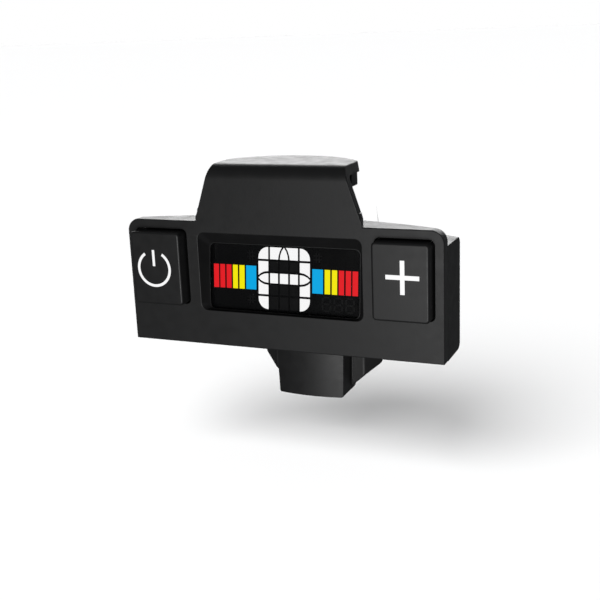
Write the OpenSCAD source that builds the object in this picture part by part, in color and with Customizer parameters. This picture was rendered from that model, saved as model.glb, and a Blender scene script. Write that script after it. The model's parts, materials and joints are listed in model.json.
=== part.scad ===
// Clip-on tuner for the edge of an instrument's sound hole.
// A fixed hook goes over the soundboard, and a sprung jaw closes on it from below.
// Origin: the middle of the hook's stop face, level with the underside of the hook's pad.
// +X is to the right seen from the display side, +Y runs back over the soundboard, +Z is up.

/* [Body] */
// Width of the body
body_w = 64; // [63.6:0.1:64.4]
// Height of the shoulders above the underside
shoulder_h = 24.6; // [24.4:0.1:25]
// Height of the rear cover above the underside
cover_h = 21.5; // [21.5:0.1:21.8]
// Depth of the body at its two ends
end_depth = 11; // [10.8:0.1:11.4]
// Radius of the curved back, seen from above
back_r = 64; // [62:1:66]
// Depth of the flat on the back that the clamp slides on
flat_depth = 18.4; // [18.4:0.1:18.6]
// Thickness of the front wall
front_wall = 2.4; // [2.3:0.1:2.4]
// Thickness of the rear cover's walls
wall = 1.3; // [1.2:0.1:1.4]
// Radius of the shoulders' outer corners
shoulder_r = 2.5; // [2:0.1:3]

/* [Hook] */
// Width of the hook at its top
hook_w = 26.8; // [26:0.2:27.4]
// Height of the hook's top above the underside
hook_h = 35.4; // [35.2:0.1:36]
// Thickness of the hook's wall
hook_t = 1.9; // [1.7:0.1:2.1]
// Outer radius of the hook's bend
bend_r = 2.8; // [2.7:0.1:3.4]
// Depth of the hook at the middle
hook_depth = 15; // [14.8:0.1:15.4]
// Radius of the hook's rear edge, seen from above
hook_edge_r = 17; // [16.5:0.5:18]
// Height of the lip's lower edge above the underside
lip_h = 30.9; // [30.9:0.1:31.2]
// How far the hook's pad stands below the lip
pad_proud = 0.3; // [0.2:0.1:0.3]

/* [Display] */
// Width of the recess at the front face
recess_w = 33.4; // [33.2:0.1:33.6]
// Height of the recess's lower edge above the underside
recess_z0 = 7; // [6.9:0.1:7.1]
// Height of the recess's upper edge above the underside
recess_z1 = 22.4; // [22:0.1:22.6]
// Width of the window that shows
view_w = 31; // [30.6:0.1:31.2]
// Height of the window that shows
view_h = 12.9; // [12.4:0.1:12.9]
// Depth of the window's middle behind the front face
view_depth = 2.35; // [2.3:0.05:2.4]
// Backward tilt of the window, in degrees
view_tilt = 5.8; // [5.4:0.2:6]

/* [Buttons] */
// Distance of each button's middle from the centre line
button_x = 24.65; // [24.6:0.05:24.7]
// Height of each button's middle above the underside
button_z = 15.4; // [15.2:0.1:15.5]
// Width of a button
button_w = 10.7; // [10.5:0.1:10.8]
// Height of a button
button_h = 14.4; // [14:0.1:14.6]
// How far a button stands out of the front face
button_proud = 2.7; // [2.2:0.1:3]
// Clear gap round a button
button_gap = 0.25; // [0.2:0.05:0.3]
// Travel of a button
button_travel = 0.6; // [0.4:0.1:0.6]

/* [Clamp] */
// Width of the slider's plate
plate_w = 26.6; // [26:0.2:27]
// Thickness of the slider's plate
plate_t = 2.6; // [2.4:0.1:2.8]
// Width of the finger tab
tab_w = 14.4; // [14:0.2:14.6]
// How far the finger tab hangs below the body
tab_drop = 13.9; // [13.6:0.1:14.1]
// Depth at which the finger tab's front face lies
tab_front = 13.1; // [13.1:0.1:13.6]
// Width of the jaw
jaw_w = 15.2; // [14.8:0.1:15.4]
// Thickness of the jaw's arm
jaw_t = 2.2; // [2:0.1:2.4]
// Thickness of the jaw's pad
jaw_pad_t = 1.2; // [1:0.1:1.3]
// Gap between the two pads when the clamp is shut
pad_gap = 0.3; // [0.2:0.1:0.4]
// Travel of the clamp
clamp_travel = 4.3; // [4:0.1:4.3]
// Wire diameter of the clamp's spring
spring_wire = 0.45; // [0.4:0.05:0.5]
// Turns of the clamp's spring
spring_turns = 7; // [6:1:8]

/* [Battery] */
// Diameter of the coin cell
cell_d = 20; // [20:0.1:20.1]
// Thickness of the coin cell
cell_t = 3.2; // [3:0.1:3.2]

/* [Hidden] */
$fn = 64;

eps = 0.01;
cut = 1;
snug = 0.05;
half_w = body_w / 2;
grip_h = lip_h - pad_proud;
back_y = end_depth - sqrt(back_r * back_r - half_w * half_w);
inner_top = cover_h - 1;
back_round = 1.3;

// The ledge behind the shoulders, a crescent seen from above.
ledge_r = 80;
ledge_depth = 7.9;

// The hook's flanks lean in as they rise, and meet the shoulders in a fillet.
flank_lean = 1 / 3;
fillet_r = 2.4;
flank_top_z = 34.1;
flank_top_x = hook_w / 2 + 0.45;
fillet_z = shoulder_h + fillet_r;
fillet_x = flank_x(fillet_z) + fillet_r * norm([1, flank_lean]);
bend_z = hook_h - bend_r;
slab_z = hook_h - hook_t;
hook_edge_y = hook_depth - hook_edge_r;
lip_x = hook_w / 2 - 0.2;

// The display, whose layers lie behind one another in the window's own tilted frame.
view_z = 13.4;
window_x = 16.6;
window_z0 = -7.65;
window_z1 = 6.9;
window_t = 0.8;
lcd_y = window_t + snug;
lcd_t = 1.6;
light_y = lcd_y + lcd_t + snug;
light_t = 1;
bezel_x = 17.3;
bezel_back = 3.6;
board_y = 7;
board_back = board_y + 1;

// The battery bay.
cell_y = board_back + 1;
cell_z = cell_d / 2 + 1.3;
tray_y0 = cell_y - 0.4;
tray_y1 = cell_y + cell_t + 0.5;
tray_x = cell_d / 2 + 1.2;
tray_cut_z = 14;
bay_back = tray_y1 + 0.4;
partition_t = 0.6;
hump_r = cell_d / 2 + 1.15;

// The clamp.
plate_y = flat_depth + 0.4;
plate_back = plate_y + plate_t;
plate_top = 19.6;
jaw_top = grip_h - pad_gap - jaw_pad_t;
jaw_front = 4.4;
key_w = 6;
key_z0 = 11.6;
key_z1 = 17.6;
retainer_y = 14.5;
retainer_back = flat_depth - wall - 0.2;
retainer_z0 = 11;
retainer_w = 12.4;
spring_y = 15.6;
spring_r = 1.25;
spring_seat = 0.7;
retainer_screw_zs = [13.5, 16.3];

// The screws that hold the case together: distance from the centre line, and height.
case_screw_spots = [[19.2, 4], [28.8, 3.8]];
case_screw_seat = 10.6;

// ---- helpers ----

// Moves a shape from the body's frame, whose origin is the foot of the front face, to the grip.
module at_grip() { translate([0, -hook_t, -grip_h]) children(); }

module both_sides() {
    children();
    mirror([1, 0, 0]) children();
}

module block(low, high) { translate(low) cube(high - low); }

// Pushes an outline drawn in X and Z through the depths y0 to y1.
module through_depth(y0, y1) {
    translate([0, y1, 0]) rotate([90, 0, 0]) linear_extrude(y1 - y0) children();
}

// Pushes a profile drawn in Y and Z across the widths x0 to x1.
module across(x0, x1) {
    translate([x0, 0, 0]) rotate([90, 0, 90]) linear_extrude(x1 - x0) children();
}

// A round bar along Y.
module bar(x, z, y0, y1, r) {
    translate([x, y0, z]) rotate([-90, 0, 0]) cylinder(h = y1 - y0, r = r);
}

module rect(x0, y0, x1, y1) { translate([x0, y0]) square([x1 - x0, y1 - y0]); }

module round_rect(x0, y0, x1, y1, r) {
    rect(x0 + r, y0, x1 - r, y1);
    rect(x0, y0 + r, x1, y1 - r);
    for (x = [x0 + r, x1 - r], y = [y0 + r, y1 - r]) translate([x, y]) circle(r);
}

// Moves a shape from the window's frame, whose origin is the middle of its front, to the body's.
module in_display() { translate([0, view_depth, view_z]) rotate([-view_tilt, 0, 0]) children(); }

// Half width of the hook's flank at a height.
function flank_x(z) = flank_top_x + flank_lean * (flank_top_z - z);

// ---- front shell ----

module shoulders_outline() {
    rect(-half_w, 0, half_w, shoulder_h - shoulder_r);
    rect(-half_w + shoulder_r, 0, half_w - shoulder_r, shoulder_h);
    for (side = [-1, 1])
        translate([side * (half_w - shoulder_r), shoulder_h - shoulder_r]) circle(shoulder_r);
}

// The hook seen from the front, with its fillets down to the shoulders.
module hook_outline() {
    difference() {
        polygon([
            [-fillet_x, shoulder_h - 2], [fillet_x, shoulder_h - 2], [fillet_x, fillet_z],
            [flank_x(fillet_z), fillet_z], [flank_top_x, flank_top_z],
            [hook_w / 2, hook_h + eps], [-hook_w / 2, hook_h + eps], [-flank_top_x, flank_top_z],
            [-flank_x(fillet_z), fillet_z], [-fillet_x, fillet_z]
        ]);
        for (side = [-1, 1]) translate([side * fillet_x, fillet_z]) circle(fillet_r);
    }
}

// The hook seen from the side: wall, bend and top.
module hook_profile() {
    rect(0, shoulder_h - 2, hook_t, bend_z);
    rect(bend_r, slab_z, hook_depth + cut, hook_h);
    intersection() {
        difference() {
            translate([bend_r, bend_z]) circle(bend_r);
            translate([bend_r, bend_z]) circle(bend_r - hook_t);
        }
        rect(0, bend_z, bend_r, hook_h);
    }
}

module hook_edge(r) {
    translate([0, hook_edge_y]) circle(r, $fn = 128);
}

module hook() {
    intersection() {
        through_depth(-cut, hook_depth + cut) hook_outline();
        across(-half_w, half_w) hook_profile();
        translate([0, 0, shoulder_h - 3]) linear_extrude(hook_h) hook_edge(hook_edge_r);
    }
    translate([0, 0, lip_h]) linear_extrude(hook_h - lip_h - hook_t / 2) intersection() {
        difference() {
            hook_edge(hook_edge_r);
            hook_edge(hook_edge_r - hook_t);
        }
        rect(-lip_x, hook_edge_y + 1, lip_x, hook_depth + cut);
    }
}

// The ledge behind the shoulders that the cover's top tucks under.
module ledge() {
    intersection() {
        through_depth(0, ledge_depth + cut) shoulders_outline();
        translate([0, ledge_depth - ledge_r, cover_h]) cylinder(h = 10, r = ledge_r, $fn = 256);
    }
}

// The room behind the hook that the jaw comes down into.
module jaw_notch() {
    side = jaw_w / 2 + 0.4;
    block([-side, jaw_front - 0.4, cover_h - cut], [side, ledge_depth + cut, shoulder_h + cut]);
}

// A rounded rectangle's four corners, pushed through the depths y0 to y1.
module corners(x, z0, z1, r, y0, y1) {
    for (side = [-1, 1], z = [z0 + r, z1 - r]) bar(side * (x - r), z, y0, y1, r, $fn = 32);
}

// The sloped sides, the window's own opening, and the pocket that the window sits in.
module display_recess() {
    rim = 0.3;
    land = 0.08;
    mouth_r = 1.3;
    window_r = 1.1;
    hull() {
        corners(recess_w / 2, recess_z0, recess_z1, mouth_r, -cut, 0);
        in_display() corners(view_w / 2 + land, -view_h / 2 - land, view_h / 2 + land, window_r,
                             -rim - cut / 2, -rim);
    }
    in_display() through_depth(-rim - cut / 2, cut)
        round_rect(-view_w / 2, -view_h / 2, view_w / 2, view_h / 2, window_r);
    in_display() block([-window_x - snug, 0, window_z0 - snug],
                       [window_x + snug, bezel_back, window_z1 + snug]);
}

module button_opening() {
    through_depth(-cut, front_wall) round_rect(
        button_x - button_w / 2 - button_gap, button_z - button_h / 2 - button_gap,
        button_x + button_w / 2 + button_gap, button_z + button_h / 2 + button_gap, 1
    );
}

module front_shell() {
    color("#2b2b2b") at_grip() difference() {
        union() {
            through_depth(0, front_wall) shoulders_outline();
            ledge();
            hook();
            block([-14, front_wall - eps, wall + 0.1], [14, front_wall + 1.6, wall + 1.1]);
            block([-bezel_x, front_wall - eps, 5], [bezel_x, bezel_back, inner_top - 0.3]);
            both_sides() for (spot = case_screw_spots)
                bar(spot[0], spot[1], front_wall - eps, board_y - snug, 1.9);
        }
        display_recess();
        jaw_notch();
        both_sides() {
            button_opening();
            for (spot = case_screw_spots) bar(spot[0], spot[1], 3, board_y + cut, 0.85);
        }
    }
}

// Rubber under the hook's top, which bears on the soundboard.
module hook_pad() {
    pad_x = lip_x - 0.5;
    color("#161616") at_grip() intersection() {
        across(-pad_x, pad_x) {
            rect(hook_t, grip_h, bend_r, bend_z);
            rect(bend_r - eps, grip_h, hook_depth, slab_z);
            translate([bend_r, bend_z]) circle(bend_r - hook_t - 0.02);
        }
        translate([0, 0, grip_h]) linear_extrude(hook_h) hook_edge(hook_edge_r - hook_t - 0.02);
        block([-half_w, hook_t, grip_h], [half_w, hook_depth, slab_z]);
    }
}

// ---- rear cover ----

module cover_plan(inset, y0) {
    intersection() {
        rect(-half_w + inset, y0, half_w - inset, flat_depth - inset);
        translate([0, back_y]) circle(back_r - inset, $fn = 256);
    }
}

// Takes the sharp edge off the curved back, at the top and at the bottom.
module back_rounding() {
    ring_r = back_r - back_round;
    for (top = [0, 1]) translate([0, back_y, top * cover_h]) mirror([0, 0, top])
        rotate_extrude($fn = 256) difference() {
            rect(ring_r, -2, back_r + 2, back_round);
            translate([ring_r, back_round]) circle(back_round);
        }
}

module screw_tube(spot) {
    intersection() {
        bar(spot[0], spot[1], board_back + snug, flat_depth, 2.9);
        linear_extrude(cover_h) cover_plan(0.2, front_wall);
    }
}

module rear_cover() {
    tray_slot_x = tray_x + 0.5;
    color("#262626") at_grip() difference() {
        union() {
            difference() {
                linear_extrude(cover_h) cover_plan(0, front_wall);
                translate([0, 0, wall]) linear_extrude(inner_top - wall)
                    cover_plan(wall, front_wall - cut);
                back_rounding();
            }
            intersection() {
                bar(0, cell_z, ledge_depth + 0.1, bay_back + partition_t, hump_r);
                block([-half_w, 0, inner_top], [half_w, flat_depth, shoulder_h]);
            }
            block([-12.8, bay_back, wall], [12.8, bay_back + partition_t, inner_top + eps]);
            both_sides() {
                block([tray_x + 0.3, board_back + 0.2, wall], [12.8, bay_back + eps, tray_cut_z]);
                block([6.5, bay_back, wall - eps], [7.3, flat_depth - wall + eps, inner_top + eps]);
                for (spot = case_screw_spots) screw_tube(spot);
            }
            translate([0, spring_y, wall - eps]) cylinder(h = 4.5, r = 0.8);
        }
        bar(0, cell_z, tray_y0 - 0.2, bay_back, cell_d / 2 + 0.3);
        block([-tray_slot_x, tray_y0 - 0.2, -cut], [tray_slot_x, bay_back, wall + eps]);
        block([-key_w / 2 - 0.15, flat_depth - wall - cut, key_z0 - clamp_travel - 0.2],
              [key_w / 2 + 0.15, flat_depth + cut, key_z1 + 0.2]);
        both_sides() for (spot = case_screw_spots) {
            bar(spot[0], spot[1], board_back - cut, flat_depth, 0.85);
            bar(spot[0], spot[1], case_screw_seat, flat_depth + cut, 1.8);
        }
    }
}

// ---- display ----

module display_window() {
    color("#0a0a0a") at_grip() in_display()
        block([-window_x, 0, window_z0], [window_x, window_t, window_z1]);
}

module lcd_panel() {
    color("#1c1f1c") at_grip() in_display()
        block([-16.3, lcd_y, -7.5], [16.3, lcd_y + lcd_t, 6.8]);
}

module lcd_backlight() {
    color("#e8eef0") at_grip() in_display()
        block([-16, light_y, -5.6], [16, light_y + light_t, 6.6]);
}

// The elastomer strip that joins the panel's contacts to the board's.
module lcd_connector() {
    color("#c9607a") at_grip() intersection() {
        in_display() block([-14, light_y, -7.4], [14, 9, -5.9]);
        block([-14, 0, 0], [14, board_y, cover_h]);
    }
}

// The frame that holds the panel and its light guide against the window.
module lcd_frame() {
    color("#dcdcd6") at_grip() difference() {
        block([-bezel_x, bezel_back + snug, 4.9], [bezel_x, board_y - snug, inner_top - 0.2]);
        in_display() {
            block([-16.35, -5, -7.6], [16.35, 12, 6.85]);
            block([-window_x - snug, -5, window_z0 - snug],
                  [window_x + snug, lcd_y, window_z1 + snug]);
        }
    }
}

// ---- electronics ----

module main_board() {
    color("#0f5a33") at_grip() through_depth(board_y, board_back) difference() {
        rect(-30.2, wall + 0.3, 30.2, inner_top - 0.6);
        for (side = [-1, 1], spot = case_screw_spots)
            translate([side * spot[0], spot[1]]) circle(1);
    }
}

// Corner, width, height and thickness of each chip, seen from the back of the board.
chips = [
    [15, 9, 7, 7, 1.2], [14.8, 17.2, 3.2, 1.6, 0.8], [24.2, 12.8, 2, 1.2, 0.8],
    [24.2, 9.4, 2, 1.2, 0.8], [-20.5, 12.6, 5, 4, 1.1], [-24.8, 9.2, 2, 1.2, 0.8],
    [-24.8, 13.4, 2, 1.2, 0.8], [-19, 9.2, 1.6, 1, 0.7]
];

module board_chips() {
    color("#18181a") at_grip() for (chip = chips)
        block([chip[0], board_back, chip[1]],
              [chip[0] + chip[2], board_back + chip[4], chip[1] + chip[3]]);
}

piezo_at = [21.6, 9.8];
piezo_r = 3.6;

// A brass disc with its ceramic, bonded under the cover's top.
module piezo_sensor() {
    color("#c8a24a") at_grip() translate([piezo_at[0], piezo_at[1], inner_top]) {
        translate([0, 0, -0.25]) cylinder(h = 0.25, r = piezo_r);
        translate([0, 0, -0.45]) cylinder(h = 0.2 + eps, r = piezo_r * 0.7);
    }
}

// Two leads that drop from the disc and turn in to the board.
module piezo_leads() {
    lead_r = 0.25;
    lead_y = piezo_at[1] + 0.6;
    color("#b03030") at_grip() for (x = [piezo_at[0] - 1, piezo_at[0] + 1]) {
        translate([x, lead_y, 18]) cylinder(h = inner_top - 0.45 - 18, r = lead_r, $fn = 24);
        translate([x, lead_y, 18]) sphere(lead_r, $fn = 24);
        translate([x, board_back, 18]) rotate([-90, 0, 0])
            cylinder(h = lead_y - board_back, r = lead_r, $fn = 24);
    }
}

// ---- buttons ----

module button(side) {
    x0 = button_x - button_w / 2;
    x1 = button_x + button_w / 2;
    z0 = button_z - button_h / 2;
    z1 = button_z + button_h / 2;
    skirt_y = 1.6;
    flange_y = front_wall + snug;
    mirror([side < 0 ? 1 : 0, 0, 0]) {
        through_depth(-button_proud, skirt_y) round_rect(x0, z0, x1, z1, 0.8);
        through_depth(skirt_y - eps, flange_y + 0.8) rect(x0 + 0.5, z0 + 0.5, x1 - 0.5, 20);
        through_depth(flange_y, flange_y + 0.8) rect(x0 - 0.8, z0 - 0.8, x1 + 0.45, 20);
        bar(button_x, button_z, flange_y, 4.75, 1.6);
    }
}

module power_button() { color("#2a2a2a") at_grip() button(-1); }

module plus_button() { color("#2a2a2a") at_grip() button(1); }

module tact_switch(side) {
    difference() {
        block([side * button_x - 3.1, 5.4, button_z - 3.1], [side * button_x + 3.1, board_y, button_z + 3.1]);
        bar(side * button_x, button_z, 5.4 - cut, 6.7, 1.3);
    }
}

module power_switch() { color("#3a3a40") at_grip() tact_switch(-1); }

module plus_switch() { color("#3a3a40") at_grip() tact_switch(1); }

module plunger(side) { bar(side * button_x, button_z, 4.8, 6, 1.25); }

module power_plunger() { color("#d8d2c4") at_grip() plunger(-1); }

module plus_plunger() { color("#d8d2c4") at_grip() plunger(1); }

// ---- battery ----

// A drawer that pulls out through the underside, open at its top and its front.
module battery_tray() {
    color("#303030") at_grip() {
        block([-tray_x - 0.3, tray_y0, 0], [tray_x + 0.3, tray_y1 + 0.2, wall - 0.1]);
        difference() {
            block([-tray_x, tray_y0, wall - 0.2], [tray_x, tray_y1, tray_cut_z - 0.2]);
            bar(0, cell_z, tray_y0 - cut, cell_y + cell_t + snug, cell_d / 2 + snug);
            bar(0, cell_z, tray_y0 - cut, tray_y1 + cut, cell_d / 2 - 1.2);
        }
    }
}

module coin_cell() {
    color("#c9ccd0") at_grip() {
        bar(0, cell_z, cell_y + 0.5, cell_y + cell_t, cell_d / 2);
        bar(0, cell_z, cell_y, cell_y + 0.5 + eps, cell_d / 2 - 1.3);
    }
}

module front_contact() {
    color("#d9c27a") at_grip() {
        block([-2, board_back, 6.5], [2, board_back + 0.2, 15.5]);
        across(-2, 2) polygon([
            [board_back + 0.2, 9], [cell_y - snug, 10.6], [cell_y - snug, 11.6],
            [board_back + 0.2, 13.2]
        ]);
    }
}

module rear_contact() {
    tip = cell_y + cell_t + snug;
    color("#d9c27a") at_grip() {
        block([-2, bay_back - 0.2, 6.5], [2, bay_back, 15.5]);
        across(-2, 2) polygon([
            [bay_back - 0.2, 9], [tip, 10.6], [tip, 11.6], [bay_back - 0.2, 13.2]
        ]);
    }
}

// ---- clamp ----

// The plate on the back, whose foot narrows to the finger tab.
module plate_outline() {
    half = plate_w / 2;
    rect(-half + 2, 0, half - 2, plate_top);
    rect(-half, -7.9, half, plate_top - 2);
    for (side = [-1, 1]) translate([side * (half - 2), plate_top - 2]) circle(2);
    polygon([
        [-half, -7.9], [-10, -10.5], [-tab_w / 2, -13], [-tab_w / 2 + 0.2, -tab_drop],
        [tab_w / 2 - 0.2, -tab_drop], [tab_w / 2, -13], [10, -10.5], [half, -7.9]
    ]);
}

// The plate, whose sides draw in towards its front.
module plate() {
    front_x = plate_w / 2 - 3.4;
    intersection() {
        through_depth(plate_y, plate_back) plate_outline();
        translate([0, 0, -tab_drop - cut]) linear_extrude(tab_drop + plate_top + 2 * cut) polygon([
            [-front_x, plate_y - eps], [front_x, plate_y - eps],
            [plate_w / 2 + eps, plate_back + eps], [-plate_w / 2 - eps, plate_back + eps]
        ]);
    }
}

// The finger tab, with a gently rounded front.
module finger_tab() {
    front_r = 34;
    intersection() {
        through_depth(tab_front - cut, plate_back) polygon([
            [-tab_w / 2 - 0.2, -0.6], [tab_w / 2 + 0.2, -0.6],
            [tab_w / 2 - 0.2, -tab_drop], [-tab_w / 2 + 0.2, -tab_drop]
        ]);
        translate([0, tab_front + front_r, -tab_drop - cut]) cylinder(h = 20, r = front_r, $fn = 128);
    }
}

module clamp_slider() {
    color("#242424") at_grip() difference() {
        union() {
            plate();
            finger_tab();
            block([-7.2, plate_y, plate_top - 1], [7.2, plate_back, jaw_top]);
            translate([0, 0, jaw_top - jaw_t]) linear_extrude(jaw_t)
                round_rect(-jaw_w / 2, jaw_front, jaw_w / 2, plate_back, 1.5);
            block([-key_w / 2, retainer_back, key_z0], [key_w / 2, plate_y + eps, key_z1]);
        }
        for (z = retainer_screw_zs) bar(0, z, retainer_back - cut, plate_y + 1.2, 0.65);
    }
}

module jaw_pad() {
    color("#161616") at_grip() translate([0, 0, jaw_top]) linear_extrude(jaw_pad_t)
        round_rect(-jaw_w / 2 + 0.4, jaw_front + 0.4, jaw_w / 2 - 0.4, plate_back - 3, 1.2);
}

// The keeper inside the cover, which the spring lifts.
module slider_retainer() {
    color("#3a3a3a") at_grip() difference() {
        block([-retainer_w / 2, retainer_y, retainer_z0], [retainer_w / 2, retainer_back, 17.8]);
        translate([0, spring_y, retainer_z0 - cut]) cylinder(h = cut + spring_seat, r = 1.7);
        for (z = retainer_screw_zs) {
            bar(0, z, retainer_y - cut, retainer_y + 1, 1.35);
            bar(0, z, retainer_y, retainer_back + cut, 0.65);
        }
    }
}

module retainer_screws() {
    color("#9a9a9a") at_grip() for (z = retainer_screw_zs) {
        bar(0, z, retainer_y + 0.1, retainer_y + 1, 1.25);
        bar(0, z, retainer_y + 0.9, plate_y + 1, 0.6);
    }
}

// One ring of points on the wire, at angle a round the coil.
function spring_point(a, b, rise) =
    let (r = spring_r + spring_wire / 2 * cos(b))
    [r * cos(a), r * sin(a), a / 360 * rise + spring_wire / 2 * sin(b)];

module clamp_spring() {
    sides = 8;
    per_turn = 18;
    rings = spring_turns * per_turn;
    z0 = wall + 0.05;
    z1 = retainer_z0 + spring_seat - 0.05;
    rise = (z1 - z0 - spring_wire) / spring_turns;
    points = [for (i = [0 : rings], j = [0 : sides - 1])
        spring_point(i * 360 / per_turn, j * 360 / sides, rise)];
    skin = [for (i = [0 : rings - 1], j = [0 : sides - 1])
        let (a = i * sides + j, b = i * sides + (j + 1) % sides)
        [a, a + sides, b + sides, b]];
    start = [for (j = [0 : sides - 1]) j];
    end = [for (j = [sides - 1 : -1 : 0]) rings * sides + j];
    color("#b8b8b8") at_grip() translate([0, spring_y, z0 + spring_wire / 2])
        polyhedron(points, concat(skin, [start, end]), convexity = 10);
}

// ---- fasteners ----

module case_screws() {
    color("#8f8f8f") at_grip() both_sides() for (spot = case_screw_spots) {
        bar(spot[0], spot[1], case_screw_seat + snug, case_screw_seat + 1.2, 1.6);
        bar(spot[0], spot[1], 3.4, case_screw_seat + 0.1, 0.8);
    }
}

front_shell();
rear_cover();
hook_pad();
display_window();
lcd_panel();
lcd_backlight();
lcd_frame();
lcd_connector();
main_board();
board_chips();
piezo_sensor();
piezo_leads();
power_button();
plus_button();
power_switch();
plus_switch();
power_plunger();
plus_plunger();
battery_tray();
coin_cell();
front_contact();
rear_contact();
clamp_slider();
jaw_pad();
slider_retainer();
retainer_screws();
clamp_spring();
case_screws();
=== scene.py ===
"""Looks for a clip-on tuner that hooks over the edge of a sound hole."""
import json
from math import cos, pi, radians, sin

import bmesh
import bpy
from mathutils import Matrix, Quaternion, Vector


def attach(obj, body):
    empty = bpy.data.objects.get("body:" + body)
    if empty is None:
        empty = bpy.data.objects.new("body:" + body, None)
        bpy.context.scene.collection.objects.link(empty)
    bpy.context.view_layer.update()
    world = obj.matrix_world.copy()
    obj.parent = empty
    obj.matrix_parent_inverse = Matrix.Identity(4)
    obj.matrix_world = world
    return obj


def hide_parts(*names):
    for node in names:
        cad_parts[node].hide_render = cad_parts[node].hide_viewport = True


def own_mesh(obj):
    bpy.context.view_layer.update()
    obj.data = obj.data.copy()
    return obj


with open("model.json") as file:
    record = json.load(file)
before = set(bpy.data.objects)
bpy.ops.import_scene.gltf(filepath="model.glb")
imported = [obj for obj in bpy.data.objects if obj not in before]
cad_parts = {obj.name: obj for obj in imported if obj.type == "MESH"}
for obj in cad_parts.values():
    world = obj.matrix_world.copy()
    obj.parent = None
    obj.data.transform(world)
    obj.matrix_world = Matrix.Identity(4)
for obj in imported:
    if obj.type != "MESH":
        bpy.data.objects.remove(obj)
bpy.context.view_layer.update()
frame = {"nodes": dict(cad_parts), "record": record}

NODES = frame["nodes"]
MM = 0.001

# The body's own frame, in millimetres: its origin is the foot of the front face, in the middle.
FRONT_Y = -1.9
FOOT_Z = -30.6
BODY_TO_ROW = Matrix.Translation((0, FRONT_Y * MM, FOOT_Z * MM)) @ Matrix.Scale(MM, 4)

# The display's frame, which leans back, in the body's.
DISPLAY_Y = 2.35
DISPLAY_Z = 13.4
DISPLAY_LEAN = radians(-5.8)
DISPLAY_TO_BODY = (Matrix.Translation((0, DISPLAY_Y, DISPLAY_Z))
                   @ Matrix.Rotation(DISPLAY_LEAN, 4, "X"))
DISPLAY_TO_ROW = BODY_TO_ROW @ DISPLAY_TO_BODY

BODY_OF = {
    "power_button": "power_key", "power_plunger": "power_key",
    "plus_button": "plus_key", "plus_plunger": "plus_key",
    "battery_tray": "battery_drawer", "coin_cell": "battery_drawer",
    "clamp_slider": "clamp", "jaw_pad": "clamp", "slider_retainer": "clamp",
    "retainer_screws": "clamp",
}


# ---- camera, lights and floor ----

CAMERA_PLACE = (0.07684, -0.17082, 0.02947)
CAMERA_AZIMUTH = radians(23.25)
CAMERA_ELEVATION = radians(15.14)
CAMERA_ROLL = radians(-2.39)
LENS_MM = 61.06
# The softboxes look at a point near the middle of the tuner.
LAMP_TARGET = (0, 0, -0.012)
FLOOR_Z = -0.056
FLOOR_HALF_WIDTH = 8


def add_camera():
    across = cos(CAMERA_ELEVATION)
    towards_camera = Vector((sin(CAMERA_AZIMUTH) * across, -cos(CAMERA_AZIMUTH) * across,
                             sin(CAMERA_ELEVATION)))
    lens = bpy.data.cameras.new("camera")
    lens.lens = LENS_MM
    lens.sensor_width = 36
    lens.clip_start = 0.01
    camera = bpy.data.objects.new("camera", lens)
    camera.rotation_mode = "QUATERNION"
    camera.rotation_quaternion = ((-towards_camera).to_track_quat("-Z", "Y")
                                  @ Quaternion((0, 0, 1), CAMERA_ROLL))
    camera.location = CAMERA_PLACE
    bpy.context.scene.collection.objects.link(camera)
    bpy.context.scene.camera = camera


def aim(light, towards):
    light.rotation_mode = "QUATERNION"
    light.rotation_quaternion = (Vector(towards) - light.location).to_track_quat("-Z", "Y")


def softbox(name, place, width, height, power):
    data = bpy.data.lights.new(name, "AREA")
    data.shape = "RECTANGLE"
    data.size = width
    data.size_y = height
    data.energy = power
    light = bpy.data.objects.new(name, data)
    light.location = place
    light.visible_camera = False
    aim(light, LAMP_TARGET)
    bpy.context.scene.collection.objects.link(light)
    return light


def sun(name, place, strength, spread, casts_shadow):
    """Even light from the direction of a place, towards the origin."""
    data = bpy.data.lights.new(name, "SUN")
    data.energy = strength
    data.angle = radians(spread)
    data.use_shadow = casts_shadow
    light = bpy.data.objects.new(name, data)
    light.location = place
    aim(light, (0, 0, 0))
    bpy.context.scene.collection.objects.link(light)
    return light


def linked(name, target, state):
    """A light's list of what it falls on, or of what it doesn't."""
    group = bpy.data.collections.new(name)
    group.objects.link(target)
    group.collection_objects[0].light_linking.link_state = state
    return group


def add_lights(floor):
    """The softboxes light the tuner, and the suns light the floor and give it a soft shadow."""
    only_floor = linked("only_floor", floor, "INCLUDE")
    not_floor = linked("all_but_floor", floor, "EXCLUDE")
    suns = (sun("floor_light", (-0.12, -0.45, 0.46), strength=3.1, spread=44, casts_shadow=True),
            sun("floor_fill", (0, 0, 1), strength=1.2, spread=20, casts_shadow=False))
    for light in suns:
        light.light_linking.receiver_collection = only_floor
    softboxes = (
        softbox("back_softbox", (-0.34, 0.80, 0.30), width=1.1, height=0.38, power=6.5),
        softbox("front_softbox", (0.07, -0.50, -0.09), width=0.26, height=0.2, power=1.25))
    for light in softboxes:
        light.light_linking.receiver_collection = not_floor


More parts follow.
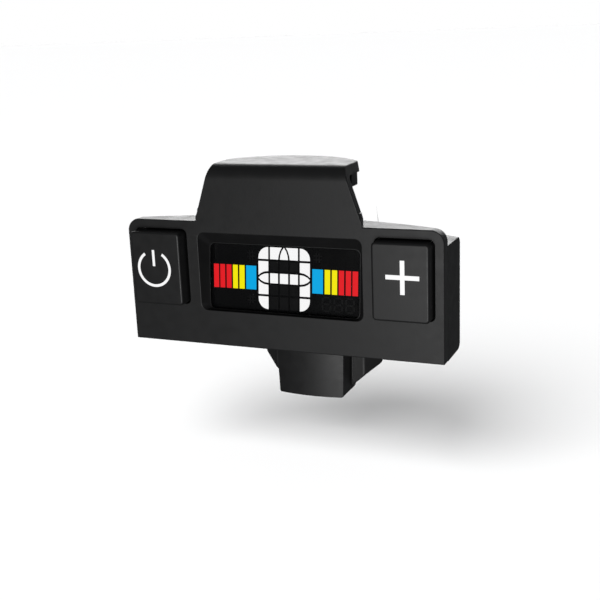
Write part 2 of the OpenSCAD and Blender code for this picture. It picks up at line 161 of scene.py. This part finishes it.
def add_backdrop():
    """White where the camera sees past the floor, and a weak cool fill everywhere else."""
    world = bpy.data.worlds.new("studio")
    bpy.context.scene.world = world
    world.use_nodes = True
    nodes, links = world.node_tree.nodes, world.node_tree.links
    nodes.clear()
    seen = nodes.new("ShaderNodeBackground")
    seen.inputs["Color"].default_value = (1, 1, 1, 1)
    seen.inputs["Strength"].default_value = 1.0
    fill = nodes.new("ShaderNodeBackground")
    fill.inputs["Color"].default_value = (0.95, 0.97, 1, 1)
    fill.inputs["Strength"].default_value = 0.10
    path = nodes.new("ShaderNodeLightPath")
    mix = nodes.new("ShaderNodeMixShader")
    out = nodes.new("ShaderNodeOutputWorld")
    links.new(path.outputs["Is Camera Ray"], mix.inputs["Fac"])
    links.new(fill.outputs[0], mix.inputs[1])
    links.new(seen.outputs[0], mix.inputs[2])
    links.new(mix.outputs[0], out.inputs["Surface"])
    bpy.context.scene.view_settings.view_transform = "Standard"


def add_floor():
    """A sheet that shows the shadow, and gives nothing back to the tuner."""
    bm = bmesh.new()
    bmesh.ops.create_grid(bm, x_segments=1, y_segments=1, size=FLOOR_HALF_WIDTH)
    bmesh.ops.translate(bm, verts=bm.verts, vec=(0, 0, FLOOR_Z))
    mesh = bpy.data.meshes.new("floor")
    bm.to_mesh(mesh)
    bm.free()
    floor = bpy.data.objects.new("floor", mesh)
    bpy.context.scene.collection.objects.link(floor)
    paper = bpy.data.materials.new("floor_paper")
    paper.use_nodes = True
    shader = paper.node_tree.nodes["Principled BSDF"]
    shader.inputs["Base Color"].default_value = (0.88, 0.88, 0.88, 1)
    shader.inputs["Roughness"].default_value = 0.9
    shader.inputs["Specular IOR Level"].default_value = 0.1
    mesh.materials.append(paper)
    floor.visible_glossy = False
    floor.visible_diffuse = False
    floor.visible_shadow = False
    return floor


# ---- finishes ----

class Finish:
    """A finish under construction: a shader, and the textures that vary it over the surface."""

    def __init__(self, name, roughness, specular=0.5, metallic=0.0, **plain):
        self.material = bpy.data.materials.new(name)
        self.material.use_nodes = True
        self.tree = self.material.node_tree
        self.shader = self.tree.nodes["Principled BSDF"]
        self.shader.inputs["Roughness"].default_value = roughness
        self.shader.inputs["Specular IOR Level"].default_value = specular
        self.shader.inputs["Metallic"].default_value = metallic
        for socket, value in plain.items():
            self.shader.inputs[socket.replace("_", " ")].default_value = value
        self.place = self.tree.nodes.new("ShaderNodeTexCoord").outputs["Object"]

    def node(self, kind, **inputs):
        node = self.tree.nodes.new(kind)
        for socket, value in inputs.items():
            node.inputs[socket].default_value = value
        return node

    def link(self, start, end):
        self.tree.links.new(start, end)

    def stretched(self, scale, turn=(0, 0, 0)):
        """Places on the piece, stretched so that a pattern runs along one way."""
        mapping = self.node("ShaderNodeMapping", Scale=scale, Rotation=turn)
        self.link(self.place, mapping.inputs["Vector"])
        return mapping.outputs["Vector"]

    def noise(self, size_mm, detail=3.0, rough=0.55, place=None):
        noise = self.node("ShaderNodeTexNoise", Scale=1 / (size_mm * MM), Detail=detail,
                          Roughness=rough)
        self.link(place or self.place, noise.inputs["Vector"])
        return noise.outputs["Fac"]

    def colours(self, fac, *stops):
        ramp = self.tree.nodes.new("ShaderNodeValToRGB")
        points = ramp.color_ramp.elements
        while len(points) < len(stops):
            points.new(0.5)
        for point, (position, colour) in zip(points, stops):
            point.position = position
            point.color = (*colour, 1)
        self.link(fac, ramp.inputs["Fac"])
        return ramp.outputs["Color"]

    def varied(self, fac, socket, low, high):
        spread = self.node("ShaderNodeMapRange", **{"From Min": 0.3, "From Max": 0.7,
                                                    "To Min": low, "To Max": high})
        self.link(fac, spread.inputs["Value"])
        self.link(spread.outputs["Result"], self.shader.inputs[socket])

    def colour(self, output):
        self.link(output, self.shader.inputs["Base Color"])

    def glow(self, colour, strength):
        self.shader.inputs["Emission Color"].default_value = (*colour, 1)
        self.shader.inputs["Emission Strength"].default_value = strength

    def relief(self, height, depth_mm, strength=1.0, under=None):
        bump = self.node("ShaderNodeBump", Strength=strength, Distance=depth_mm * MM)
        self.link(height, bump.inputs["Height"])
        if under:
            self.link(under, bump.inputs["Normal"])
        self.link(bump.outputs["Normal"], self.shader.inputs["Normal"])
        return bump.outputs["Normal"]


def shade(colour, factor):
    return tuple(min(1.0, part * factor) for part in colour)


def moulded(name, colour, roughness, specular=0.5, grain_mm=0.22, depth_mm=0.016, spread=0.12):
    """Moulded plastic: fine spark texture, with slight drift in its tone and its sheen."""
    finish = Finish(name, roughness, specular)
    finish.colour(finish.colours(finish.noise(6), (0.25, shade(colour, 1 - spread)),
                                 (0.75, shade(colour, 1 + spread))))
    finish.varied(finish.noise(2.2), "Roughness", roughness - 0.05, roughness + 0.05)
    broad = finish.relief(finish.noise(1.1, 2), depth_mm * 0.8, 0.25)
    finish.relief(finish.noise(grain_mm, 2, 0.6), depth_mm, 0.8, broad)
    return finish.material


def rubber(name, colour):
    """Soft pad: dull, with a fine pitted skin."""
    finish = Finish(name, 0.75, 0.35)
    finish.colour(finish.colours(finish.noise(1.5), (0.3, shade(colour, 0.8)),
                                 (0.7, shade(colour, 1.3))))
    finish.varied(finish.noise(0.7), "Roughness", 0.68, 0.85)
    finish.relief(finish.noise(0.2, 4, 0.7), 0.03, 0.6)
    return finish.material


def worked_metal(name, colour, roughness, along=(1, 1, 1), scratch_mm=0.12, depth_mm=0.004):
    """Metal drawn or turned one way: along is small where the marks run."""
    finish = Finish(name, roughness, 0.5, 1.0)
    marks = finish.noise(scratch_mm, 5, 0.65, finish.stretched(along))
    finish.colour(finish.colours(marks, (0.25, shade(colour, 0.82)), (0.75, shade(colour, 1.1))))
    finish.varied(finish.noise(1.4), "Roughness", roughness - 0.07, roughness + 0.08)
    finish.relief(marks, depth_mm, 0.4)
    return finish.material


def printed_with_glow(name, colour):
    """A white legend, slightly uneven, with a painted glow: it gives off a little light of its own,
    so it shows bright white.
    """
    finish = Finish(name, 0.55, 0.4)
    finish.colour(finish.colours(finish.noise(0.8), (0.3, shade(colour, 0.94)), (0.7, colour)))
    finish.relief(finish.noise(0.15, 2), 0.006, 0.4)
    # Painted glow: the legend is no lamp, but it gives off light so that it shows brighter.
    finish.glow((1, 1, 1), 0.5)
    return finish.material


def lit(name, colour, strength):
    """A lit cell of the display. The faint unevenness is the light guide's."""
    finish = Finish(name, 0.35, 0.3)
    finish.colour(finish.colours(finish.noise(3), (0.3, shade(colour, 0.25)),
                                 (0.7, shade(colour, 0.3))))
    finish.varied(finish.noise(1), "Roughness", 0.3, 0.4)
    finish.glow(colour, strength)
    return finish.material


def window_acrylic():
    """Clear hard-coated acrylic over a dark panel."""
    finish = Finish("window_acrylic", 0.06, 0.5, Alpha=0.2)
    finish.colour(finish.colours(finish.noise(8), (0.3, (0.004, 0.004, 0.005)),
                                 (0.7, (0.006, 0.006, 0.007))))
    finish.varied(finish.noise(2.5), "Roughness", 0.04, 0.09)
    finish.relief(finish.noise(4, 1), 0.002, 0.2)
    return finish.material


def panel_glass():
    """The dark display panel: near black, with its faint column electrodes."""
    finish = Finish("panel_glass", 0.2, 0.4)
    columns = finish.node("ShaderNodeTexWave", Scale=1 / (3.2 * MM), Distortion=0.0)
    finish.link(finish.place, columns.inputs["Vector"])
    finish.colour(finish.colours(columns.outputs["Fac"], (0.35, (0.0034, 0.0036, 0.0036)),
                                 (0.65, (0.0044, 0.0047, 0.0047))))
    finish.varied(finish.noise(3), "Roughness", 0.16, 0.24)
    return finish.material


def light_guide():
    """Milky acrylic, with rows of small dots that let the light out."""
    finish = Finish("light_guide", 0.3, 0.5)
    dots = finish.node("ShaderNodeTexVoronoi", Scale=1 / (0.7 * MM), Randomness=0.0)
    finish.link(finish.place, dots.inputs["Vector"])
    finish.colour(finish.colours(dots.outputs["Distance"], (0.2, (0.95, 0.96, 0.97)),
                                 (0.35, (0.78, 0.82, 0.85))))
    finish.varied(finish.noise(2), "Roughness", 0.25, 0.38)
    finish.relief(dots.outputs["Distance"], 0.01, 0.3)
    return finish.material


def striped_elastomer():
    """Conducting and insulating layers, side by side across the strip."""
    finish = Finish("striped_elastomer", 0.6, 0.3)
    layers = finish.node("ShaderNodeTexWave", Scale=1 / (0.8 * MM), Distortion=0.0)
    finish.link(finish.place, layers.inputs["Vector"])
    finish.colour(finish.colours(layers.outputs["Fac"], (0.42, (0.02, 0.02, 0.022)),
                                 (0.55, (0.62, 0.28, 0.35))))
    finish.varied(finish.noise(0.6), "Roughness", 0.5, 0.7)
    finish.relief(layers.outputs["Fac"], 0.01, 0.3)
    return finish.material


def board_laminate():
    """Green mask over copper tracks, which show as paler lines."""
    finish = Finish("board_laminate", 0.3, 0.5)
    tracks = finish.node("ShaderNodeTexVoronoi", Scale=1 / (3.4 * MM), Randomness=0.75)
    tracks.feature = "DISTANCE_TO_EDGE"
    finish.link(finish.place, tracks.inputs["Vector"])
    finish.colour(finish.colours(tracks.outputs["Distance"], (0.035, (0.05, 0.30, 0.12)),
                                 (0.06, (0.012, 0.13, 0.055))))
    finish.varied(finish.noise(1.2), "Roughness", 0.24, 0.38)
    finish.relief(tracks.outputs["Distance"], 0.02, 0.3)
    return finish.material


SHELL = (0.013, 0.013, 0.0133)
COVER = (0.010, 0.010, 0.0103)
FINISHES = {
    "shell_plastic": moulded("shell_plastic", SHELL, 0.46),
    "cover_plastic": moulded("cover_plastic", COVER, 0.46),
    "slider_plastic": moulded("slider_plastic", COVER, 0.44),
    "tray_plastic": moulded("tray_plastic", COVER, 0.5),
    "button_plastic": moulded("button_plastic", SHELL, 0.42, depth_mm=0.009),
    "retainer_plastic": moulded("retainer_plastic", (0.05, 0.05, 0.05), 0.5),
    "switch_plastic": moulded("switch_plastic", (0.02, 0.02, 0.022), 0.5),
    "plunger_plastic": moulded("plunger_plastic", (0.7, 0.66, 0.56), 0.45, spread=0.05),
    "white_plastic": moulded("white_plastic", (0.8, 0.8, 0.78), 0.5, spread=0.03),
    "chip_epoxy": moulded("chip_epoxy", (0.02, 0.02, 0.022), 0.6, grain_mm=0.08),
    "lead_insulation": moulded("lead_insulation", (0.5, 0.03, 0.03), 0.4, spread=0.1),
    "pad_rubber": rubber("pad_rubber", (0.016, 0.016, 0.017)),
    "piezo_brass": worked_metal("piezo_brass", (0.78, 0.6, 0.25), 0.3, (1, 0.15, 1)),
    "contact_brass": worked_metal("contact_brass", (0.72, 0.62, 0.36), 0.25, (1, 1, 0.1)),
    "cell_steel": worked_metal("cell_steel", (0.62, 0.62, 0.6), 0.28, (0.2, 1, 1)),
    "screw_steel": worked_metal("screw_steel", (0.42, 0.42, 0.43), 0.35),
    "spring_steel": worked_metal("spring_steel", (0.6, 0.6, 0.6), 0.22),
    "window_plastic": window_acrylic(),
    "lcd_glass": panel_glass(),
    "light_guide": light_guide(),
    "elastomer": striped_elastomer(),
    "board_laminate": board_laminate(),
}
# The legends' white print, with a painted glow on top.
LEGEND_WHITE = printed_with_glow("legend_white", (0.9, 0.9, 0.9))
LETTER_GLOW = 1.35
BAR_GLOW = 1.3
CELL_WHITE = lit("cell_white", (1, 1, 1), LETTER_GLOW)
CELL_RED = lit("cell_red", (0.847, 0.0116, 0.0176), BAR_GLOW)
CELL_YELLOW = lit("cell_yellow", (1.0, 0.888, 0.0), BAR_GLOW)
CELL_BLUE = lit("cell_blue", (0.0, 0.422, 0.847), BAR_GLOW)
CELL_FAINT = moulded("cell_faint", (0.010, 0.0105, 0.0105), 0.35, 0.3, depth_mm=0.001)

SLOT_OF = {s["node"]: s["material_slot"] for s in frame["record"]["subparts"]}


# ---- making pieces ----

def add_piece(name, mesh, body, slot, finish=None):
    piece = bpy.data.objects.new(name, mesh)
    bpy.context.scene.collection.objects.link(piece)
    mesh.materials.clear()
    mesh.materials.append(finish or FINISHES[slot])
    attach(piece, body)
    return piece


def mesh_from(bm, name, place=BODY_TO_ROW):
    """Ends a bmesh drawn in millimetres, and puts it in its place in the row's frame."""
    bmesh.ops.recalc_face_normals(bm, faces=bm.faces)
    bmesh.ops.transform(bm, matrix=place, verts=bm.verts)
    mesh = bpy.data.meshes.new(name)
    bm.to_mesh(mesh)
    bm.free()
    return mesh


def smooth(piece, angle=40, flats=True):
    """Smooth shading that keeps the sharp edges sharp and, where asked, the flats flat."""
    piece.data.shade_smooth()
    piece.data.set_sharp_from_angle(angle=radians(angle))
    if flats:
        weighted = piece.modifiers.new("even_normals", "WEIGHTED_NORMAL")
        weighted.keep_sharp = True


def edge_middle(edge):
    """The middle of an edge in the body's frame, in millimetres."""
    middle = (edge.verts[0].co + edge.verts[1].co) / (2 * MM)
    return middle.x, middle.y - FRONT_Y, middle.z - FOOT_Z


def merged_copy(node):
    """A bmesh of a CAD node, with its loose triangles joined up."""
    bm = bmesh.new()
    bm.from_mesh(NODES[node].data)
    bmesh.ops.remove_doubles(bm, verts=bm.verts, dist=0.002 * MM)
    return bm


def stand_in(node, name, bm, angle, flats):
    """Ends a reworked copy of a CAD node. The normals that it brings along no longer fit it."""
    mesh = bpy.data.meshes.new(name)
    bm.to_mesh(mesh)
    bm.free()
    stored = mesh.attributes.get("custom_normal")
    if stored:
        mesh.attributes.remove(stored)
    piece = add_piece(name, mesh, BODY_OF.get(node, "case"), SLOT_OF[node])
    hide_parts(node)
    smooth(piece, angle, flats)
    return piece


def softened(node, *rounds, angle=28):
    """A copy of a CAD node with its moulded edges rounded.
    Each round is a width in millimetres, and a test of where in the body's frame it applies."""
    bm = merged_copy(node)
    if rounds:
        bmesh.ops.dissolve_limit(bm, angle_limit=radians(0.4), verts=bm.verts, edges=bm.edges)
    for width, where in rounds:
        sharp = [e for e in bm.edges if e.is_manifold and e.calc_face_angle(0) > radians(angle)
                 and where(*edge_middle(e))]
        bmesh.ops.bevel(bm, geom=sharp, offset=width * MM, segments=3, profile=0.5,
                        affect="EDGES", material=-1, clamp_overlap=False)
    stand_in(node, node + "_rounded", bm, 40 if rounds else 25, bool(rounds))


# Where the rounded edges lie, in the body's frame, in millimetres. Each bound has a little room.
NEAR = 0.06
CASE_SIDE = 31.9
WALL_BACK = 2.45
OPENING_TOP = 23.5
DISPLAY_OPENING_SIDE, DISPLAY_OPENING_FOOT = 17.5, 6
BUTTON_OPENING_SIDES, BUTTON_OPENING_FOOT = (18.5, 31.5), 7
SHOULDER_Z = 24.4
HOOK_FOOT = 26
BUTTON_FACE_Y = -2.7
SLIDER_NECK_Z = 19.7
TAB_BEHIND, PLATE_BEHIND = 14, 18
TRAY_FRONT = 8.7
HOOK_PAD_FOOT = 30.7
JAW_PAD_TOP = 30.2


def on_shell_outline(x, y, z):
    """The shell's outer edges and its hook, without the openings in its front."""
    outer = y < NEAR or z < NEAR or abs(x) > CASE_SIDE or z > HOOK_FOOT
    shoulder = z > SHOULDER_Z and y < WALL_BACK
    inner, outer_side = BUTTON_OPENING_SIDES
    display_opening = (y < NEAR and abs(x) < DISPLAY_OPENING_SIDE
                       and DISPLAY_OPENING_FOOT < z < OPENING_TOP)
    button_opening = (y < NEAR and inner < abs(x) < outer_side
                      and BUTTON_OPENING_FOOT < z < OPENING_TOP)
    return (outer or shoulder) and not (display_opening or button_opening)


def on_shell_openings(x, y, z):
    return y < NEAR and z < OPENING_TOP


def on_slider_back(x, y, z):
    return y > TAB_BEHIND and (z < SLIDER_NECK_Z or y > PLATE_BEHIND)


def everywhere(x, y, z):
    return True


def round_the_cad():
    softened("front_shell", (0.2, on_shell_outline), (0.1, on_shell_openings))
    softened("rear_cover")
    for node in ("power_button", "plus_button"):
        softened(node, (0.45, lambda x, y, z: y < BUTTON_FACE_Y + 0.1))
    softened("clamp_slider", (0.3, on_slider_back))
    softened("battery_tray", (0.12, lambda x, y, z: z < NEAR or y < TRAY_FRONT))
    softened("hook_pad", (0.12, lambda x, y, z: z < HOOK_PAD_FOOT))
    softened("jaw_pad", (0.2, lambda x, y, z: z > JAW_PAD_TOP))
    softened("coin_cell", (0.3, everywhere))


def wire_spring():
    """The clamp's spring: a merged, smoothed copy of its CAD wire, with a mesh of its own."""
    piece = stand_in("clamp_spring", "clamp_spring_wire", merged_copy("clamp_spring"), 40, False)
    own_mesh(piece)


# ---- legends on the buttons ----

BUTTON_X = 25.1
POWER_Z = 15.4
PLUS_Z = 16.45
INK = 0.02


def power_legend():
    """An open ring with a bar through its gap."""
    bm = bmesh.new()
    ring_r, stroke, half_gap, ring_steps = 3.4, 0.53, 33, 56
    middle = Vector((-BUTTON_X, 0, POWER_Z))
    start = Matrix.Translation(middle) @ Matrix.Rotation(radians(half_gap), 4, "Y")
    bmesh.ops.create_grid(bm, x_segments=1, y_segments=1, size=0.5,
                          matrix=start @ Matrix.Translation((0, BUTTON_FACE_Y, ring_r))
                          @ Matrix.Diagonal((1, INK * 2, stroke, 1))
                          @ Matrix.Rotation(pi / 2, 4, "Y"))
    bmesh.ops.spin(bm, geom=bm.verts[:] + bm.edges[:] + bm.faces[:], cent=middle,
                   axis=(0, 1, 0), angle=radians(360 - 2 * half_gap), steps=ring_steps)
    bar_z0, bar_z1 = 15.9, 19.1
    bmesh.ops.create_cube(bm, size=1, matrix=Matrix.Translation(
        (middle.x, BUTTON_FACE_Y, (bar_z0 + bar_z1) / 2))
        @ Matrix.Diagonal((stroke, INK * 2, bar_z1 - bar_z0, 1)))
    add_piece("power_legend", mesh_from(bm, "power_legend"), "power_key", "button_plastic",
              LEGEND_WHITE)


def plus_legend():
    """A small square, with each of its sides pulled out into an arm."""
    bm = bmesh.new()
    span, stroke = 6.2, 0.83
    middle = (BUTTON_X, BUTTON_FACE_Y, PLUS_Z)
    bmesh.ops.create_cube(bm, size=1, matrix=Matrix.Translation(middle)
                          @ Matrix.Diagonal((stroke, INK * 2, stroke, 1)))
    bm.normal_update()
    sides = [f for f in bm.faces if abs(f.normal.y) < 0.5]
    for side in sides:
        out = side.normal * (span - stroke) / 2
        pulled = bmesh.ops.extrude_discrete_faces(bm, faces=[side])["faces"]
        bmesh.ops.translate(bm, verts=pulled[0].verts, vec=out)
    add_piece("plus_legend", mesh_from(bm, "plus_legend"), "plus_key", "button_plastic",
              LEGEND_WHITE)


# ---- the pattern on the display ----

CELL_FRONT = 0.81
CELL_BACK = 0.845
# The pattern is drawn a little large, then set in its place on the panel.
LETTER_FOOT, LETTER_TOP = 7.0, 19.5
PATTERN_X = -0.24
PATTERN_FOOT = 7.35
PATTERN_WIDE, PATTERN_HIGH = 0.985, 0.964
# The letter's cells: its uprights, its middle column and one of the columns beside that.
UPRIGHT_IN, UPRIGHT_OUT = 3.33, 5.42
COLUMNS = ((-0.86, 0.86), (1.28, 2.93))
CORNER_R = 1.998
# The coloured bars: their foot and top, and where each lies across the display.
BAR_FOOT, BAR_TOP = 10.8, 15.6
BARS = {
    "display_blue": (CELL_BLUE, ((5.92, 8.12),)),
    "display_yellow": (CELL_YELLOW, ((8.46, 9.58), (9.93, 11.0))),
    "display_red": (CELL_RED, ((11.33, 12.4), (12.74, 13.8), (14.1, 15.2))),
}


def on_panel(x, z):
    return (x * PATTERN_WIDE + PATTERN_X, CELL_BACK,
            PATTERN_FOOT + (z - LETTER_FOOT) * PATTERN_HIGH - DISPLAY_Z)


def plate(bm, points, round_at=None):
    """A thin cell on the display from the corners of its outline, one of them rounded if asked."""
    corners = [bm.verts.new(on_panel(x, z)) for x, z in points]
    face = bm.faces.new(corners)
    if round_at is not None:
        made = bmesh.ops.bevel(bm, geom=[corners[round_at]], offset=CORNER_R, segments=6,
                               profile=0.5, affect="VERTICES", material=-1)
        face = made["verts"][0].link_faces[0]
    pushed = bmesh.ops.extrude_face_region(bm, geom=[face])["geom"]
    bmesh.ops.translate(bm, verts=[v for v in pushed if isinstance(v, bmesh.types.BMVert)],
                        vec=(0, CELL_FRONT - CELL_BACK, 0))


def box_points(x0, z0, x1, z1):
    return [(x0, z0), (x1, z0), (x1, z1), (x0, z1)]


def flipped(points):
    return [(-x, z) for x, z in points]


def add_pattern(name, bm, finish):
    """The panel's light is steady and dim, so it isn't let on to the case round it."""
    piece = add_piece(name, mesh_from(bm, name, DISPLAY_TO_ROW), "case", "lcd_glass", finish)
    piece.visible_diffuse = False
    piece.visible_glossy = False


def pattern_piece(name, finish, cells):
    """Each cell is an outline, and perhaps the corner to round. Both sides of the display get it."""
    bm = bmesh.new()
    for points, *rounding in cells:
        plate(bm, points, *rounding)
        if all(x > 0 for x, z in points):
            plate(bm, flipped(points), *rounding)
    add_pattern(name, bm, finish)


def letter_cells():
    """The lit cells, on the middle column and to the right of it."""
    near, far = UPRIGHT_IN, UPRIGHT_OUT
    top_corner = box_points(near, 17.1, far, LETTER_TOP)
    upper_upright = [(near, 14.72), (4.3, 14.56), (5.0, 14.2), (far, 13.82), (far, 16.65),
                     (near, 16.65)]
    crossbar_end = [(near, 12.35), (4.2, 12.47), (4.9, 12.8), (5.45, 13.3), (4.9, 13.8),
                    (4.2, 14.13), (near, 14.25)]
    lower_upright = [(near, 10.0), (far, 10.0), (far, 12.75), (5.0, 12.38), (4.3, 12.05),
                     (near, 11.9)]
    foot = box_points(near, LETTER_FOOT, far, 9.55)
    top_side = [(1.24, 17.1), (2.93, 17.1), (2.93, LETTER_TOP), (0.42, LETTER_TOP), (0.8, 18.9),
                (1.1, 18.0)]
    top_middle = [(-0.86, 17.1), (0.86, 17.1), (0.74, 18.0), (0.46, 18.8), (0, LETTER_TOP),
                  (-0.46, 18.8), (-0.74, 18.0)]
    cells = [(top_corner, 2), (upper_upright,), (crossbar_end,), (lower_upright,), (foot, 1),
             (top_side,), (top_middle,)]
    return cells + [(box_points(x0, 12.3, x1, 14.29),) for x0, x1 in COLUMNS]


def unlit_cells():
    """The dark cells between the uprights."""
    rows = ((14.75, 16.65), (10.0, 11.95), (LETTER_FOOT, 9.55))
    return [(box_points(x0, z0, x1, z1),) for x0, x1 in COLUMNS for z0, z1 in rows]


def figure(x):
    """Seven strokes that can show a figure, from x to the right."""
    level = [box_points(x + 0.4, z, x + 1.5, z + 0.34) for z in (10.0, 8.63, 7.26)]
    upright = [box_points(x + dx, z, x + dx + 0.34, z + 0.93)
               for z in (9.02, 7.65) for dx in (0, 1.56)]
    return level + upright


def sharp_sign(x, z):
    """Two uprights, and two cross strokes broken where they pass them."""
    uprights = [box_points(x + dx, z, x + dx + 0.22, z + 1.9) for dx in (0, 0.6)]
    strokes = [box_points(x + x0, z + dz, x + x1, z + dz + 0.22)
               for dz in (0.45, 1.2) for x0, x1 in ((-0.4, -0.06), (0.28, 0.54), (0.88, 1.2))]
    return uprights + strokes


def display_pattern():
    pattern_piece("display_letter", CELL_WHITE, letter_cells())
    pattern_piece("display_unlit", CELL_FAINT, unlit_cells())
    for name, (finish, spans) in BARS.items():
        pattern_piece(name, finish, [(box_points(x0, BAR_FOOT, x1, BAR_TOP),)
                                     for x0, x1 in spans])
    # Three figures, lower right, and small signs beside the letter, all unlit.
    bm = bmesh.new()
    for x in (7.9, 10.3, 12.7):
        for points in figure(x):
            plate(bm, points)
    for x, z in ((-7.4, 16.9), (6.6, 16.9), (-7.4, 8.0)):
        for points in sharp_sign(x, z):
            plate(bm, points)
    add_pattern("display_figures", bm, CELL_FAINT)


# ---- fasteners ----

SCREW_PLACES = [(side * x, z) for side in (-1, 1) for x, z in ((19.2, 4), (28.8, 3.8))]


def case_screws():
    """Four screws at the bottom of the cover's deep holes, each with a round recess in its head."""
    head_y, head_back, head_r, shank_r, tip_y = 10.65, 11.8, 1.6, 0.8, 3.4
    recess_y = head_back - 0.35
    outline = [(0, recess_y), (head_r * 0.28, recess_y), (head_r * 0.42, head_back),
               (head_r * 0.8, head_back - 0.12), (head_r, head_back - 0.5), (head_r, head_y),
               (shank_r, head_y), (shank_r, tip_y + 0.8), (0, tip_y)]
    bm = bmesh.new()
    for x, z in SCREW_PLACES:
        turn = Matrix.Translation((x, 0, z)) @ Matrix.Rotation(-pi / 2, 4, "X")
        rim = [bm.verts.new(turn @ Vector((r, 0, depth))) for r, depth in outline]
        line = [bm.edges.new(pair) for pair in zip(rim, rim[1:])]
        bmesh.ops.spin(bm, geom=rim + line, cent=(x, 0, z), axis=(0, 1, 0), angle=2 * pi,
                       steps=32, use_merge=True)
    bmesh.ops.remove_doubles(bm, verts=bm.verts, dist=0.001)
    piece = add_piece("case_screw_set", mesh_from(bm, "case_screw_set"), "case", "screw_steel")
    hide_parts("case_screws")
    smooth(piece, 35)


# ---- everything in its order ----

add_camera()
add_lights(add_floor())
add_backdrop()
for node, slot in SLOT_OF.items():
    NODES[node].data.materials.clear()
    NODES[node].data.materials.append(FINISHES[slot])
round_the_cad()
wire_spring()
power_legend()
plus_legend()
display_pattern()
case_screws()
